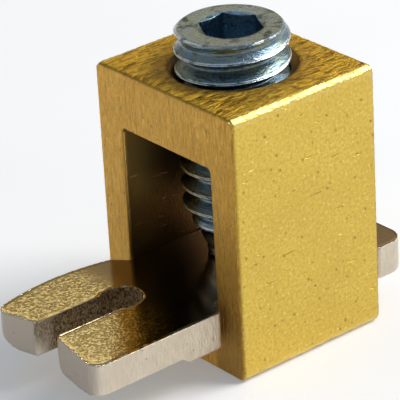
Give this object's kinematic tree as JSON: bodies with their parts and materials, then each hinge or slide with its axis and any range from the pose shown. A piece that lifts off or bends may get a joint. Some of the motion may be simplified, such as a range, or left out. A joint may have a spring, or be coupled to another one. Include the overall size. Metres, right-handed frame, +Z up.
{
  "type": "ground clamp",
  "caption": "Brass frame clamp: a socket set screw in the top wall grips a wire in the window on a forked contact bar that fits under a terminal screw.",
  "frame": {"origin": "middle of the frame's underside, on the screw's axis", "axes": "+X along the contact bar from its fork to its rear stub, +Y across the frame, +Z up the screw"},
  "size_m": [0.0268, 0.0142, 0.0222],
  "materials": {
    "brass": "drawn and sawn, satin",
    "zinc_plated_steel": "bright zinc plate",
    "nickel_plate": "nickel plate on punched brass"
  },
  "bodies": {
    "frame": {"clamp_frame": "brass"},
    "screw_rise": {"screw_point": "zinc_plated_steel"},
    "screw": {"clamp_screw": "zinc_plated_steel"},
    "bar": {"contact_bar": "nickel_plate"}
  },
  "joints": [
    {"name": "screw_advance", "type": "slide", "parent": "frame", "child": "screw_rise", "axis": [0, 0, 1], "range_m": [0, 0.00847]},
    {"name": "screw_turn", "type": "hinge", "parent": "screw_rise", "child": "screw", "pos_m": [0, 0, 0.0222], "axis": [0, 0, 1], "range_deg": [0, 2160]},
    {"name": "bar_slide", "type": "slide", "parent": "frame", "child": "bar", "axis": [1, 0, 0], "range_m": [-0.00015, 0.0002]}
  ],
  "couplings": [
    {"joint": "screw_turn", "follows": "screw_advance", "rad_per_m": 4452.6}
  ]
}
